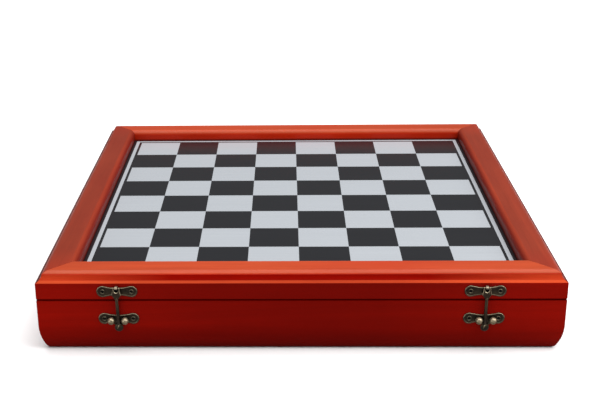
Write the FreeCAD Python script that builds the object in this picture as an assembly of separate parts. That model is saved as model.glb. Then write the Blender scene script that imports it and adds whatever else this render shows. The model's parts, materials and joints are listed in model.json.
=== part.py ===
"""Boxed chess set: a lacquered case whose lid is the board, with 32 turned pieces lying inside.

Frame: millimetres, +Z up, Z = 0 where the case stands, origin under the middle of the board.
The player and the two hook latches are on the -Y side, the hinges on the +Y side.
"""
import FreeCAD, Part
import math
import os

V = FreeCAD.Vector

# Board and case
SQUARE = 40.0             # side of one playing square
OUTER = 196.5             # half the outside width of the case
BASE_TOP = 42.0           # rim of the base
LID_BOTTOM = 42.5         # rim of the lid, a narrow gap above the base
BOARD_Z = 53.0            # playing surface
FRAME_TOP = 63.3          # flat top of the frame round the board
OPENING = 4 * SQUARE + 8.5    # half the width of the opening in the frame
INNER = 182.5             # half the inside width of the case
CORE_BOTTOM = 46.0        # underside of the board's core
CORE_TOP = 51.0           # top of the core, where the printed sheet starts
LINING = 1.2              # thickness of the felt under the core
LINING_HALF = 180.0       # half the felt's width
PLAY = 0.2                # gap round a panel in its rebate or groove
LID_ROUND = 0.9           # rounding of the lid's rim beside the seam
RIM_ROUND = 0.5           # rounding of the base's rim beside the seam

# Moulded outside of the frame, going out and down from the flat top
FLAT_END = 187.3          # where the flat top starts to roll over
RIDGE = (191.8, 61.8)     # sharp edge at the end of the roll
COVE_MIDDLE = (192.6, 59.2)
COVE_FOOT = (194.3, 57.0)
LEDGE_Z = 55.5            # foot of the sloping ledge, where the lid's side starts
INNER_ROUND = 3.5         # rounding of the frame's inner edge

# Base walls and bottom
CHEEK_R = 44.0            # radius of the base's tucked-in lower side
CHEEK_TOP = 21.5          # height where that radius starts
CHEEK_END = 2.0           # height where it ends in a small rounding
FOOT_EDGE = 188.5         # half the width of the rim that stands on the table
PANEL_BOTTOM = 3.0
PANEL_TOP = 7.0
GROOVE = 186.5            # half the width of the panel's groove

# Hardware shared sizes
PLATE = 0.8               # thickness of the latch plates and hinge leaves
NAIL_R = 0.7
NAIL_HOLE_R = 0.75
NAIL_HEAD_R = 1.25
NAIL_HEAD = 0.5
NAIL_LENGTH = 8.0
BOSS_R = 1.9              # raised ring round each nail on a latch plate
BOSS = 0.4

# Hook latches, whose places along the front differ a little, as they do when fitted by hand
HOOK_X = {"left": -135.6, "right": 136.2}     # middle of the plate on the lid
CATCH_X = {"left": -135.3, "right": 136.1}    # middle of the plate on the base
PIVOT_X = {"left": -135.9, "right": 137.0}
STUDS_X = {"left": -135.7, "right": 137.5}    # middle of the pair of ball studs
TIP_X = {"left": -135.2, "right": 136.7}
HOOK_PLATE_Z = 49.5
CATCH_PLATE_Z = 27.4
LOBE_R = 4.5              # round ends of a latch plate
LOBE_X = 10.8             # from the plate's middle to the middle of each round end
LOBE_TURN = 105           # where the waist's edge leaves a round end, in degrees from the plate's long axis
WAIST = 3.0               # half the height of the plate at its middle
PIVOT_Z = 52.6
PIVOT_OUT = 2.4           # from the case's front to the hook's pivot
CURL_R = 1.5              # outside of the curl that holds the hook's bar
CURL_HALF = 1.2
WEB_HALF = 1.0            # half the height of the web between the plate and the curl
BAR_R = 0.75
BAR_HOLE_R = 0.80
BAR_HALF = 2.2            # half the length of the bar across the hook's slot
HOOK_HALF = 0.8           # half the thickness of the hook's head
HEAD_TOP = (2.6, 0.9)     # corners of the head, from the pivot: half the width there, and the height
HEAD_SHOULDER = (3.5, -5.0)
HEAD_FOOT = (1.2, -9.2)
SLOT_PLAY = 0.35          # gap on each side of the curl in the head's slot
SLOT_DEPTH = 3.6
STEM_TOP = 8.4            # from the pivot down to where the stem starts inside the head
STEM_TOP_R = 1.15
STEM_FOOT_R = 1.4
STUD_R = 2.8              # ball studs on the catch plate
STUD_X = 5.15
STUD_Z = 26.4
STUD_OUT = 2.8            # from the case's front to a ball's middle
STUD_SHANK_R = 0.9
STUD_HOLE_R = 0.95
STUD_LENGTH = 6.0
STUD_LOBE_Z = 25.8        # middle of the round lobe below the two studs
TIP_Z = 21.0              # middle of the hook's round tip
TIP_R = 3.2
TIP_THICK = 2.2
TIP_ROUND = 0.7

# Hinges, on the back
HINGE_X = {"left": -120.0, "right": 120.0}
HINGE_HALF = 15.0         # half a leaf's length
HINGE_OUT = 2.5           # from the case's back to the hinge axis
HINGE_Z = 42.25
BARREL_R = 2.2
PIN_R = 1.10
PIN_HOLE_R = 1.15
PIN_CAP = 1.0             # from the barrel's end to the end of the pin's cap
PIN_CAP_R = 1.2           # the cap's small end
LEAF_START = 2.6          # from the axis to a leaf's straight edge
LEAF_END = 12.6           # from the axis to a leaf's far edge
LEAF_CORNER = 3.5
KNUCKLES = 5
KNUCKLE_GAP = 0.3
HINGE_NAILS = ((-10.5, 7.6), (0.0, 9.2), (10.5, 7.6))

SIDES = ("front", "right", "back", "left")    # each a quarter turn on from the one before

# Trays and the way the pieces lie in them
TRAY_TOP = 24.5           # also the height of each lying piece's axis
TRAY_INNER = 46.0         # from the middle of the case to a tray's straight side
PITCH = 44.0              # from one piece to the next along a row
BACK_ROW_FOOT = 179.5     # from the middle of the case to the feet of the eight tall pieces
PAWN_ROW_FOOT = 94.0
WELL_PLAY = 0.4
ORDER = ("rook", "knight", "bishop", "queen", "king", "bishop", "knight", "rook")
HEIGHT = {"king": 80.0, "queen": 72.0, "bishop": 62.0, "knight": 56.0, "rook": 50.0, "pawn": 44.0}
FOOT_R = {"king": 15.5, "queen": 15.0, "bishop": 14.0, "knight": 14.0, "rook": 14.0, "pawn": 12.5}
NECK_R = {"king": 5.6, "queen": 5.4, "bishop": 4.6, "knight": 9.0, "rook": 7.0, "pawn": 4.0}
COLLAR_R = {"king": 9.2, "queen": 8.8, "bishop": 7.8, "knight": 10.6, "rook": 9.4, "pawn": 7.2}
COLLAR_AT = {"king": 50.0, "queen": 46.0, "bishop": 36.0, "knight": 13.0, "rook": 32.0, "pawn": 26.0}
HEAD_R = {"king": 8.6, "queen": 8.4, "bishop": 6.9, "rook": 9.8, "pawn": 6.9}
FOOT_TOP = 7.4            # height of the moulded foot that all the pieces share
COLLAR = 2.2              # height of one collar ring
KNIGHT_THICK = 15.0


def save(name, *solids):
    """Write one sub-part, which may be several separate solids, to its own STEP file."""
    shape = solids[0] if len(solids) == 1 else Part.makeCompound(list(solids))
    shape.exportStep(f"parts/{name}.step")


def face(place, start, *steps):
    """A flat face. Each step is a point, for a line, or a pair of points, for an arc through the first."""
    edges = []
    here = start
    for step in steps:
        if isinstance(step[0], tuple):
            middle, here_next = step
            edges.append(Part.Arc(place(*here), place(*middle), place(*here_next)).toShape())
        else:
            here_next = step
            edges.append(Part.LineSegment(place(*here), place(*here_next)).toShape())
        here = here_next
    if here != start:
        edges.append(Part.LineSegment(place(*here), place(*start)).toShape())
    return Part.Face(Part.Wire(edges))


def block(low, high):
    """A box between two corners."""
    return Part.makeBox(high[0] - low[0], high[1] - low[1], high[2] - low[2], V(*low))


def rod(start, end, r_start, r_end=None):
    """A round rod between two points, tapered if it has a second radius."""
    a = V(*start)
    along = V(*end) - a
    if r_end is None or r_end == r_start:
        return Part.makeCylinder(r_start, along.Length, a, along)
    return Part.makeCone(r_start, r_end, along.Length, a, along)


def arc_middle(centre, radius, degrees):
    """The point of a circle at an angle, which fixes an arc's bulge."""
    angle = math.radians(degrees)
    return (centre[0] + radius * math.cos(angle), centre[1] + radius * math.sin(angle))


def roll_middle(flat_end, edge):
    """The middle of an arc that leaves a level line at flat_end and ends at edge, lower or higher."""
    run = edge[0] - flat_end[0]
    drop = edge[1] - flat_end[1]
    radius = (run ** 2 + drop ** 2) / (2 * drop)
    half_turn = math.degrees(math.asin(run / abs(radius))) / 2
    level = -90 + half_turn if drop > 0 else 90 - half_turn
    return arc_middle((flat_end[0], flat_end[1] + radius), abs(radius), level)


def mitred_side(profile, quarter):
    """One of four mitred sides: the front's section, carried along it and turned by quarter turns."""
    reach = OUTER + 4.0
    bar = profile.extrude(V(2 * reach, 0, 0))
    corner = face(lambda x, y: V(x, y, -1), (0, 0), (-reach, -reach), (reach, -reach))
    side = bar.common(corner.extrude(V(0, 0, FRAME_TOP + 2)))
    side.rotate(V(0, 0, 0), V(0, 0, 1), 90 * quarter)
    return side.Solids[0]


def front_section(start, *steps):
    """A section whose points are (distance out from the middle, height)."""
    reach = OUTER + 4.0
    return face(lambda out, z: V(-reach, -out, z), start, *steps)


def rail_profile():
    """Section of the lid's frame, with its rebate for the board's core."""
    seam_middle = arc_middle((OUTER - LID_ROUND, LID_BOTTOM + LID_ROUND), LID_ROUND, -45)
    edge_centre = (OPENING + INNER_ROUND, FRAME_TOP - INNER_ROUND)
    return front_section(
        (INNER, LID_BOTTOM),
        (OUTER - LID_ROUND, LID_BOTTOM),
        (seam_middle, (OUTER, LID_BOTTOM + LID_ROUND)),
        (OUTER, LEDGE_Z),
        COVE_FOOT,
        (COVE_MIDDLE, RIDGE),
        (roll_middle((FLAT_END, FRAME_TOP), RIDGE), (FLAT_END, FRAME_TOP)),
        (OPENING + INNER_ROUND, FRAME_TOP),
        (arc_middle(edge_centre, INNER_ROUND, 135), (OPENING, FRAME_TOP - INNER_ROUND)),
        (OPENING, CORE_TOP),
        (INNER, CORE_TOP),
    )


def wall_profile():
    """Section of the base's wall: upright above, tucked in below, grooved for the bottom panel."""
    cheek_centre = (OUTER - CHEEK_R, CHEEK_TOP)
    end_angle = math.degrees(math.asin((CHEEK_END - CHEEK_TOP) / CHEEK_R))
    cheek_end = arc_middle(cheek_centre, CHEEK_R, end_angle)
    seam_middle = arc_middle((OUTER - RIM_ROUND, BASE_TOP - RIM_ROUND), RIM_ROUND, 45)
    return front_section(
        (INNER, 0.0),
        (FOOT_EDGE, 0.0),
        (roll_middle((FOOT_EDGE, 0.0), cheek_end), cheek_end),
        (arc_middle(cheek_centre, CHEEK_R, end_angle / 2), (OUTER, CHEEK_TOP)),
        (OUTER, BASE_TOP - RIM_ROUND),
        (seam_middle, (OUTER - RIM_ROUND, BASE_TOP)),
        (INNER, BASE_TOP),
        (INNER, PANEL_TOP),
        (GROOVE, PANEL_TOP),
        (GROOVE, PANEL_BOTTOM),
        (INNER, PANEL_BOTTOM),
    )


def square_sheet(half, bottom, top):
    return block((-half, -half, bottom), (half, half, top))


def latch_nail_places(plate_x, plate_z):
    return [(x, plate_z) for x in (plate_x - LOBE_X, plate_x + LOBE_X)]


def hinge_nail_places(side, up):
    """Nail places on one hinge leaf: up is 1 for the lid's leaf and -1 for the base's."""
    return [(HINGE_X[side] + x, HINGE_Z + up * z) for x, z in HINGE_NAILS]


def nail(x, z, back, stand_off):
    """A round-headed nail, driven in from the front, or from the back where back is True."""
    sign = 1.0 if back else -1.0
    under_head = sign * (OUTER + stand_off)
    shank = rod((x, under_head, z), (x, under_head - sign * NAIL_LENGTH, z), NAIL_R)
    head = rod((x, under_head, z), (x, under_head + sign * NAIL_HEAD, z), NAIL_HEAD_R, NAIL_HEAD_R - 0.4)
    return shank.fuse(head)


def holes_along_y(places, y_from, y_to, radius):
    """Drill one hole at each (x, z) place, between two depths."""
    drills = [rod((x, y_from, z), (x, y_to, z), radius) for x, z in places]
    return Part.makeCompound(drills)


def latch_plate(centre_x, centre_z):
    """A waisted plate with round ends, a raised ring round each nail, lying on the case's front."""
    y = -OUTER
    start = arc_middle((LOBE_X, 0), LOBE_R, LOBE_TURN)
    outline = face(
        lambda u, v: V(centre_x + u, y, centre_z + v),
        start,
        ((LOBE_X + LOBE_R, 0), (start[0], -start[1])),
        ((0, -WAIST), (-start[0], -start[1])),
        ((-LOBE_X - LOBE_R, 0), (-start[0], start[1])),
        ((0, WAIST), start),
    )
    plate = outline.extrude(V(0, -PLATE, 0))
    places = latch_nail_places(centre_x, centre_z)
    for x, z in places:
        plate = plate.fuse(rod((x, y - PLATE / 2, z), (x, y - PLATE - BOSS, z), BOSS_R, BOSS_R - 0.2))
    return plate.cut(holes_along_y(places, y, y - PLATE - BOSS, NAIL_HOLE_R))


def hook_plate(side):
    """The lid's plate, with the curl that the hook's bar turns in."""
    low = PIVOT_X[side] - CURL_HALF
    high = PIVOT_X[side] + CURL_HALF
    pivot_y = -(OUTER + PIVOT_OUT)
    curl = rod((low, pivot_y, PIVOT_Z), (high, pivot_y, PIVOT_Z), CURL_R)
    web = block((low, pivot_y, PIVOT_Z - WEB_HALF), (high, -OUTER, PIVOT_Z + WEB_HALF))
    bore = rod((low, pivot_y, PIVOT_Z), (high, pivot_y, PIVOT_Z), BAR_HOLE_R)
    return latch_plate(HOOK_X[side], HOOK_PLATE_Z).fuse(curl).fuse(web).cut(bore).removeSplitter()


def hook(side):
    """The swinging hook: a kite-shaped head on a bar, a stem that leans to the catch, a round tip."""
    x = PIVOT_X[side]
    tip_x = TIP_X[side]
    y = -(OUTER + PIVOT_OUT)
    corners = [HEAD_TOP, HEAD_SHOULDER, HEAD_FOOT]
    corners = [(-u, v) for u, v in corners] + corners[::-1]
    head = face(lambda u, v: V(x + u, y - HOOK_HALF, PIVOT_Z + v), *corners).extrude(V(0, 2 * HOOK_HALF, 0))
    slot_half = CURL_HALF + SLOT_PLAY
    slot_low = (x - slot_half, y - HOOK_HALF, PIVOT_Z - SLOT_DEPTH)
    head = head.cut(block(slot_low, (x + slot_half, y + HOOK_HALF, PIVOT_Z + HEAD_TOP[1])))
    bar = rod((x - BAR_HALF, y, PIVOT_Z), (x + BAR_HALF, y, PIVOT_Z), BAR_R)
    stem = rod((x, y, PIVOT_Z - STEM_TOP), (tip_x, y, TIP_Z), STEM_TOP_R, STEM_FOOT_R)
    tip = rod((tip_x, y - TIP_THICK / 2, TIP_Z), (tip_x, y + TIP_THICK / 2, TIP_Z), TIP_R)
    tip = tip.makeFillet(TIP_ROUND, tip.Edges)
    stem_end = rod((tip_x, y - TIP_THICK, TIP_Z), (tip_x, y + TIP_THICK, TIP_Z), TIP_R / 2)
    return head.fuse(bar).fuse(stem.cut(stem_end)).fuse(tip)


def catch_plate(side):
    """The base's plate, with a round lobe under the two ball studs."""
    x = STUDS_X[side]
    lobe = rod((x, -OUTER, STUD_LOBE_Z), (x, -OUTER - PLATE, STUD_LOBE_Z), LOBE_R)
    plate = latch_plate(CATCH_X[side], CATCH_PLATE_Z).fuse(lobe).removeSplitter()
    return plate.cut(holes_along_y(stud_places(side), -OUTER, -OUTER - PLATE, STUD_HOLE_R))


def stud_places(side):
    return [(STUDS_X[side] + x, STUD_Z) for x in (-STUD_X, STUD_X)]


def catch_stud(x, z):
    """A ball on a shank that goes through the plate into the wall."""
    ball = Part.makeSphere(STUD_R, V(x, -OUTER - STUD_OUT, z))
    ball = ball.cut(block((x - STUD_R, -OUTER - PLATE, z - STUD_R), (x + STUD_R, -OUTER, z + STUD_R)))
    return ball.fuse(rod((x, -OUTER - STUD_OUT, z), (x, -OUTER + STUD_LENGTH, z), STUD_SHANK_R))


def knuckle_spans(side, first):
    """The stretches of the hinge barrel that belong to one leaf."""
    length = 2 * HINGE_HALF / KNUCKLES
    start = HINGE_X[side] - HINGE_HALF
    for i in range(first, KNUCKLES, 2):
        low = start + i * length + (KNUCKLE_GAP / 2 if i > 0 else 0.0)
        high = start + (i + 1) * length - (KNUCKLE_GAP / 2 if i < KNUCKLES - 1 else 0.0)
        yield low, high


def hinge_leaf(side, up):
    """One leaf with its knuckles: up is 1 for the lid's leaf and -1 for the base's."""
    x = HINGE_X[side]
    axis_y = OUTER + HINGE_OUT
    far = LEAF_END - LEAF_CORNER
    side_x = HINGE_HALF - LEAF_CORNER
    leaf = face(
        lambda u, v: V(x + u, OUTER, HINGE_Z + up * v),
        (-HINGE_HALF, LEAF_START),
        (-HINGE_HALF, far),
        (arc_middle((-side_x, far), LEAF_CORNER, 135), (-side_x, LEAF_END)),
        (side_x, LEAF_END),
        (arc_middle((side_x, far), LEAF_CORNER, 45), (HINGE_HALF, far)),
        (HINGE_HALF, LEAF_START),
    ).extrude(V(0, PLATE, 0))
    for low, high in knuckle_spans(side, 0 if up < 0 else 1):
        z_low, z_high = sorted((HINGE_Z, HINGE_Z + up * (LEAF_START + 0.5)))
        leaf = leaf.fuse(block((low, OUTER, z_low), (high, OUTER + PLATE, z_high)))
        web_low, web_high = sorted((HINGE_Z, HINGE_Z + up * BARREL_R))
        leaf = leaf.fuse(block((low, OUTER + PLATE / 2, web_low), (high, axis_y - PIN_HOLE_R, web_high)))
        leaf = leaf.fuse(rod((low, axis_y, HINGE_Z), (high, axis_y, HINGE_Z), BARREL_R))
    bore = rod((x - HINGE_HALF, axis_y, HINGE_Z), (x + HINGE_HALF, axis_y, HINGE_Z), PIN_HOLE_R)
    nails = holes_along_y(hinge_nail_places(side, up), OUTER, OUTER + PLATE, NAIL_HOLE_R)
    return leaf.removeSplitter().cut(bore).cut(nails)


def hinge_pin(side):
    """A plain pin with a small domed cap at each end of the barrel."""
    x = HINGE_X[side]
    axis_y = OUTER + HINGE_OUT
    half = HINGE_HALF + KNUCKLE_GAP / 2
    pin = rod((x - half, axis_y, HINGE_Z), (x + half, axis_y, HINGE_Z), PIN_R)
    for sign in (-1, 1):
        inner = (x + sign * half, axis_y, HINGE_Z)
        outer = (x + sign * (HINGE_HALF + PIN_CAP), axis_y, HINGE_Z)
        pin = pin.fuse(rod(inner, outer, BARREL_R, PIN_CAP_R))
    return pin


def lower_steps(kind):
    """The moulded foot, the hollow stem and the collar, as (radius, height) steps from the axis out."""
    foot = FOOT_R[kind]
    neck = NECK_R[kind]
    collar = COLLAR_R[kind]
    at = COLLAR_AT[kind]
    waist = (neck + (foot - 4.0 - neck) * 0.28, FOOT_TOP + (at - FOOT_TOP) * 0.36)
    return [
        (foot - 0.5, 0.0),
        ((foot, 1.7), (foot - 0.6, 3.4)),
        (foot - 2.0, 4.0),
        ((foot - 1.3, 5.4), (foot - 2.6, 6.8)),
        (foot - 4.0, FOOT_TOP),
        (waist, (neck, at)),
        (collar - 0.6, at),
        ((collar, at + COLLAR / 2), (collar - 0.6, at + COLLAR)),
        (neck + 0.8, at + COLLAR + 0.4),
    ]


def turned(steps):
    """A solid turned on the Z axis from steps that start and end on it."""
    section = face(lambda r, z: V(r, 0, z), (0.0, 0.0), *steps)
    return section.revolve(V(0, 0, 0), V(0, 0, 1), 360)


def king():
    start = COLLAR_AT["king"] + COLLAR + 0.4
    cup = HEAD_R["king"]
    dome = start + 18.4
    body = turned(lower_steps("king") + [
        ((6.4, start + 8.0), (cup, start + 13.6)),
        (cup, start + 15.0),
        ((5.4, start + 17.4), (1.6, dome)),
        (0.0, dome),
    ])
    top = HEIGHT["king"]
    upright = block((-1.3, -1.2, dome - 1.0), (1.3, 1.2, top))
    arms = block((-3.0, -1.2, top - 5.6), (3.0, 1.2, top - 3.0))
    return body.fuse(upright).fuse(arms).removeSplitter()


def queen():
    start = COLLAR_AT["queen"] + COLLAR + 0.4
    cup = HEAD_R["queen"]
    rim = start + 15.0
    ball = 2.3
    body = turned(lower_steps("queen") + [
        ((6.0, start + 8.0), (cup, rim)),
        (cup - 1.6, rim),
        (cup - 2.4, rim - 1.6),
        ((4.4, rim + 2.4), (1.0, rim + 4.2)),
        (0.0, rim + 4.2),
    ])
    for i in range(9):
        angle = 2 * math.pi * i / 9
        out = V(math.cos(angle), math.sin(angle), 0)
        body = body.cut(Part.makeCylinder(1.5, 5.0, out * (cup - 3.0) + V(0, 0, rim + 0.4), out))
    return body.fuse(Part.makeSphere(ball, V(0, 0, HEIGHT["queen"] - ball)))


def bishop():
    start = COLLAR_AT["bishop"] + COLLAR + 0.4
    ball = 2.0
    tip = HEIGHT["bishop"] - 1.7 * ball
    body = turned(lower_steps("bishop") + [
        ((HEAD_R["bishop"], start + 7.0), (1.4, tip)),
        (0.0, tip),
    ])
    slit = block((1.2, -9, start + 9.0), (10, 9, start + 10.6))
    slit.rotate(V(0, 0, start + 9.0), V(0, 1, 0), -40)
    return body.cut(slit).fuse(Part.makeSphere(ball, V(0, 0, HEIGHT["bishop"] - ball)))


def rook():
    start = COLLAR_AT["rook"] + COLLAR + 0.4
    top = HEIGHT["rook"]
    head = HEAD_R["rook"]
    well = head - 2.8
    body = turned(lower_steps("rook") + [
        ((8.0, start + 3.0), (head, start + 5.4)),
        (head, top),
        (well, top),
        (well, top - 3.4),
        (0.0, top - 3.4),
    ])
    for i in range(3):
        notch = block((-12, -1.3, top - 2.6), (12, 1.3, top + 1))
        notch.rotate(V(0, 0, 0), V(0, 0, 1), 60 * i)
        body = body.cut(notch)
    return body


def knight():
    """A turned foot with a horse's head sawn from a board, its nose towards +X."""
    neck_at = COLLAR_AT["knight"] + COLLAR + 0.4
    body = turned(lower_steps("knight") + [(0.0, neck_at)])
    top = HEIGHT["knight"]

    def in_plane(u, z):
        return V(u, -KNIGHT_THICK / 2, z)

    head = face(
        in_plane,
        (8.6, neck_at - 0.6),
        ((3.6, 24.0), (4.4, 31.0)),
        (7.0, 32.6),
        (11.6, 31.0),
        ((13.2, 33.6), (12.0, 37.0)),
        ((8.4, 43.6), (5.0, 48.6)),
        (3.0, top),
        (-0.6, 50.6),
        ((-8.6, 44.0), (-10.4, 31.0)),
        ((-9.6, 22.0), (-8.6, neck_at - 0.6)),
    ).extrude(V(0, KNIGHT_THICK, 0))
    return body.fuse(head)


def pawn():
    top = HEIGHT["pawn"]
    ball = HEAD_R["pawn"]
    neck_top = top - 2 * ball + 1.6
    body = turned(lower_steps("pawn") + [(NECK_R["pawn"], neck_top), (0.0, neck_top)])
    return body.fuse(Part.makeSphere(ball, V(0, 0, top - ball)))


def well(kind):
    """The room that a lying piece needs in its tray: a trough for its foot and one for its body."""
    tall = HEIGHT[kind] + 2 * WELL_PLAY
    low = V(0, 0, -WELL_PLAY)
    foot = Part.makeCylinder(FOOT_R[kind] + WELL_PLAY, FOOT_TOP + 2 * WELL_PLAY, low)
    if kind == "knight":
        half = FOOT_R[kind]
        deep = KNIGHT_THICK / 2 + WELL_PLAY
        return [foot, Part.makeCylinder(COLLAR_R[kind] + WELL_PLAY, COLLAR_AT[kind] + COLLAR + WELL_PLAY),
                block((-half, -deep, -WELL_PLAY), (half, deep, tall - WELL_PLAY))]
    slim = max(COLLAR_R[kind], HEAD_R[kind], FOOT_R[kind] - 4.0) + WELL_PLAY
    return [foot, Part.makeCylinder(slim, tall, low)]


def laid_down(shape, x, foot_y):
    """Lay an upright shape on its side, its foot outwards and its head towards the case's middle."""
    lying = shape.copy()
    lying.rotate(V(0, 0, 0), V(1, 0, 0), 90 if foot_y > 0 else -90)
    lying.translate(V(x, foot_y, TRAY_TOP))
    return lying


def places():
    """Every piece as (name, kind, x, foot_y): the light army at the front, the dark one at the back."""
    for army, sign in (("light", -1.0), ("dark", 1.0)):
        for i, kind in enumerate(ORDER):
            x = (i - 3.5) * PITCH
            file_letter = "abcdefgh"[i]
            name = f"{army}_{kind}" if kind in ("king", "queen") else f"{army}_{kind}_{file_letter}"
            yield name, kind, x, sign * BACK_ROW_FOOT
            yield f"{army}_pawn_{file_letter}", "pawn", x, sign * PAWN_ROW_FOOT


def tray(sign):
    """A flocked block with one well for each lying piece of one army."""
    half = INNER - PLAY
    low_y, high_y = sorted((sign * TRAY_INNER, sign * half))
    body = block((-half, low_y, PANEL_TOP), (half, high_y, TRAY_TOP))
    tools = []
    for _, kind, x, foot_y in places():
        if foot_y * sign > 0:
            tools += [laid_down(shape, x, foot_y) for shape in well(kind)]
    return body.cut(tools)


def lid():
    front_nails = [place for x in HOOK_X.values() for place in latch_nail_places(x, HOOK_PLATE_Z)]
    back_nails = hinge_nail_places("left", 1) + hinge_nail_places("right", 1)
    for quarter, name in enumerate(SIDES):
        rail = mitred_side(rail_profile(), quarter)
        if name == "front":
            rail = rail.cut(holes_along_y(front_nails, -OUTER, -OUTER + NAIL_LENGTH, NAIL_HOLE_R))
        if name == "back":
            rail = rail.cut(holes_along_y(back_nails, OUTER, OUTER - NAIL_LENGTH, NAIL_HOLE_R))
        save(f"lid_{name}_rail", rail)
    save("board_core", square_sheet(INNER - PLAY, CORE_BOTTOM, CORE_TOP))
    save("board_sheet", square_sheet(OPENING - PLAY, CORE_TOP, BOARD_Z))
    save("lid_lining", square_sheet(LINING_HALF, CORE_BOTTOM - LINING, CORE_BOTTOM))
    for side in HOOK_X:
        save(f"{side}_hook_plate", hook_plate(side))
        save(f"{side}_hook", hook(side))
        save(f"{side}_hinge_lid_leaf", hinge_leaf(side, 1))
    nails = [nail(x, z, False, PLATE + BOSS) for x, z in front_nails]
    nails += [nail(x, z, True, PLATE) for x, z in back_nails]
    save("lid_nails", *nails)


def base():
    front_nails = [place for x in CATCH_X.values() for place in latch_nail_places(x, CATCH_PLATE_Z)]
    back_nails = hinge_nail_places("left", -1) + hinge_nail_places("right", -1)
    studs = stud_places("left") + stud_places("right")
    for quarter, name in enumerate(SIDES):
        wall = mitred_side(wall_profile(), quarter)
        if name == "front":
            wall = wall.cut(holes_along_y(front_nails, -OUTER, -OUTER + NAIL_LENGTH, NAIL_HOLE_R))
            wall = wall.cut(holes_along_y(studs, -OUTER, -OUTER + STUD_LENGTH + PLAY, STUD_HOLE_R))
        if name == "back":
            wall = wall.cut(holes_along_y(back_nails, OUTER, OUTER - NAIL_LENGTH, NAIL_HOLE_R))
        save(f"base_{name}_wall", wall)
    save("base_panel", square_sheet(GROOVE - PLAY, PANEL_BOTTOM, PANEL_TOP))
    save("front_tray", tray(-1))
    save("back_tray", tray(1))
    for side in CATCH_X:
        save(f"{side}_catch_plate", catch_plate(side))
        save(f"{side}_hinge_base_leaf", hinge_leaf(side, -1))
    save("catch_studs", *[catch_stud(x, z) for x, z in studs])
    save("hinge_pins", hinge_pin("left"), hinge_pin("right"))
    nails = [nail(x, z, False, PLATE + BOSS) for x, z in front_nails]
    nails += [nail(x, z, True, PLATE) for x, z in back_nails]
    save("base_nails", *nails)


def pieces():
    upright = {
        "king": king(),
        "queen": queen(),
        "bishop": bishop(),
        "knight": knight(),
        "rook": rook(),
        "pawn": pawn(),
    }
    for name, kind, x, foot_y in places():
        save(name, laid_down(upright[kind], x, foot_y))


os.makedirs("parts", exist_ok=True)
lid()
base()
pieces()
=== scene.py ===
"""Looks of the boxed chess set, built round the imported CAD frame.

Outlines are in millimetres and meshes in metres. The case is centred on the origin, with its latches
on the -Y side. The main sizes are read from the boxes of the CAD nodes.
"""
import json
import math

import bmesh
import bpy
from mathutils import Matrix, Vector


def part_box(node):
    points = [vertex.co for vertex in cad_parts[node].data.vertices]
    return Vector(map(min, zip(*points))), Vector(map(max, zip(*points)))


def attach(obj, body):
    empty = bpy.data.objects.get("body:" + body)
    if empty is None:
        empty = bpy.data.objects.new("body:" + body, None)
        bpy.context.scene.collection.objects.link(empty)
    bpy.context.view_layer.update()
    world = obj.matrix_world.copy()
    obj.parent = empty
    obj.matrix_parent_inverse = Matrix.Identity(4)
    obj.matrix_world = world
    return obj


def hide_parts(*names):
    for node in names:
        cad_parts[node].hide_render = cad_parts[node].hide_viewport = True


MM = 0.001

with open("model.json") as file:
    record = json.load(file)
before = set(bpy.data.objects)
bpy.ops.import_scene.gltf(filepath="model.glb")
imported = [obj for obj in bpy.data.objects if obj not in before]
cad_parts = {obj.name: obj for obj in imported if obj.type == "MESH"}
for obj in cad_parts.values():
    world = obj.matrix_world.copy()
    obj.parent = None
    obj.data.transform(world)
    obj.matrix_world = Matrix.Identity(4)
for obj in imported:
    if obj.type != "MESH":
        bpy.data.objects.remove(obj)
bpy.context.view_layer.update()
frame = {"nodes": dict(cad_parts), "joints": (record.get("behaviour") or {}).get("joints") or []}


def box_mm(node):
    """The lowest and the highest corner of a CAD node's box."""
    low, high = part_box(node)
    return Vector(low) / MM, Vector(high) / MM


def joint_mm(name):
    """A point on a joint's axis."""
    return Vector(next(joint["pos_m"] for joint in frame["joints"] if joint["name"] == name)) / MM


# Sizes of the case
RAIL_LOW, RAIL_HIGH = box_mm("lid_front_rail")
SHEET_LOW, SHEET_HIGH = box_mm("board_sheet")
PANEL_LOW, PANEL_HIGH = box_mm("base_panel")
WALL_HIGH = box_mm("base_front_wall")[1]
CORE_HIGH = box_mm("board_core")[1]
OUTER = RAIL_HIGH.x  # half the case's width
OPENING = -RAIL_HIGH.y  # half the width of the opening round the board
INNER = -WALL_HIGH.y  # half the width inside
SQUARE = 40.0
PLATE = 0.8  # thickness of latch plates and hinge leaves


# ---- outlines

def on_circle(centre, radius, degrees):
    """The point of a circle at one angle."""
    angle = math.radians(degrees)
    return (centre[0] + radius * math.cos(angle), centre[1] + radius * math.sin(angle))


def arc_points(start, middle, end, count):
    """Points on the arc from start through middle to end, without start."""
    (ax, ay), (bx, by), (cx, cy) = start, middle, end
    # (ux, uy) is the centre of the circle through the three points
    d = 2 * (ax * (by - cy) + bx * (cy - ay) + cx * (ay - by))
    a2, b2, c2 = ax ** 2 + ay ** 2, bx ** 2 + by ** 2, cx ** 2 + cy ** 2
    ux = (a2 * (by - cy) + b2 * (cy - ay) + c2 * (ay - by)) / d
    uy = (a2 * (cx - bx) + b2 * (ax - cx) + c2 * (bx - ax)) / d
    radius = math.hypot(ax - ux, ay - uy)
    first = math.atan2(ay - uy, ax - ux)
    turn_middle = (math.atan2(by - uy, bx - ux) - first) % (2 * math.pi)
    turn = (math.atan2(cy - uy, cx - ux) - first) % (2 * math.pi)
    if turn_middle > turn:
        turn -= 2 * math.pi
    angles = [math.degrees(first + turn * (i + 1) / count) for i in range(count)]
    return [on_circle((ux, uy), radius, a) for a in angles]


def outline(start, *steps, count=10):
    """Points from start through steps: a step is a point, or the middle and the end of an arc."""
    points = [start]
    for step in steps:
        if isinstance(step[0], tuple):
            points += arc_points(points[-1], step[0], step[1], count)
        else:
            points.append(step)
    return points


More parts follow.
